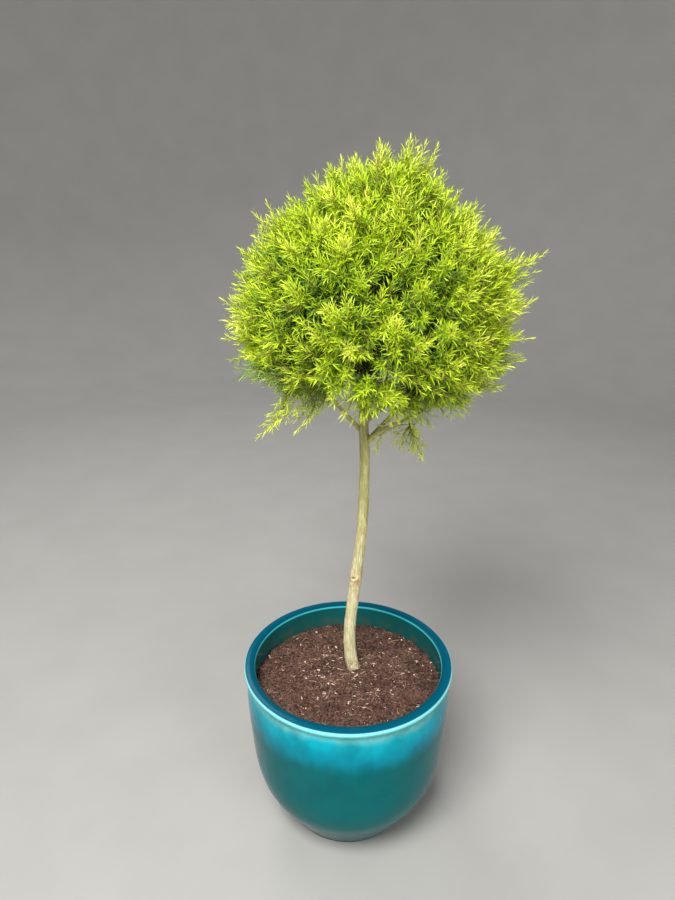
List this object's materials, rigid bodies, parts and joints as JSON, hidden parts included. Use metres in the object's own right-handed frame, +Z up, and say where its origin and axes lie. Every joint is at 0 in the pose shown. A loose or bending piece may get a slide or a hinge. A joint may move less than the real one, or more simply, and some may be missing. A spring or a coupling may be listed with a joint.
{
  "type": "standard lollipop topiary",
  "caption": "Potted standard plant: a slim bare stem carries a loosely clipped round head of fine golden-green foliage, grown in a round glazed teal pot.",
  "frame": {"origin": "centre of the pot's flat underside", "axes": "+Z up along the stem, -Y towards the front, +X to the right seen from the front"},
  "size_m": [0.5584, 0.5341, 1.3736],
  "materials": {
    "glaze": "gloss",
    "soil": "rough",
    "bark": "matte",
    "leaves": "matte"
  },
  "bodies": {
    "root": {"pot": "glaze", "soil": "soil", "trunk": "bark", "leader": "bark", "bough_left": "bark", "bough_front_left": "bark", "bough_right_low": "bark", "bough_right_high": "bark", "bough_back_left": "bark", "bough_upper_left": "bark", "bough_upper_right": "bark", "bough_upper_back": "bark", "foliage_left": "leaves", "foliage_front_left": "leaves", "foliage_right_low": "leaves", "foliage_right_high": "leaves", "foliage_back_left": "leaves", "foliage_upper_left": "leaves", "foliage_upper_right": "leaves", "foliage_upper_back": "leaves", "foliage_top": "leaves"}
  },
  "joints": []
}
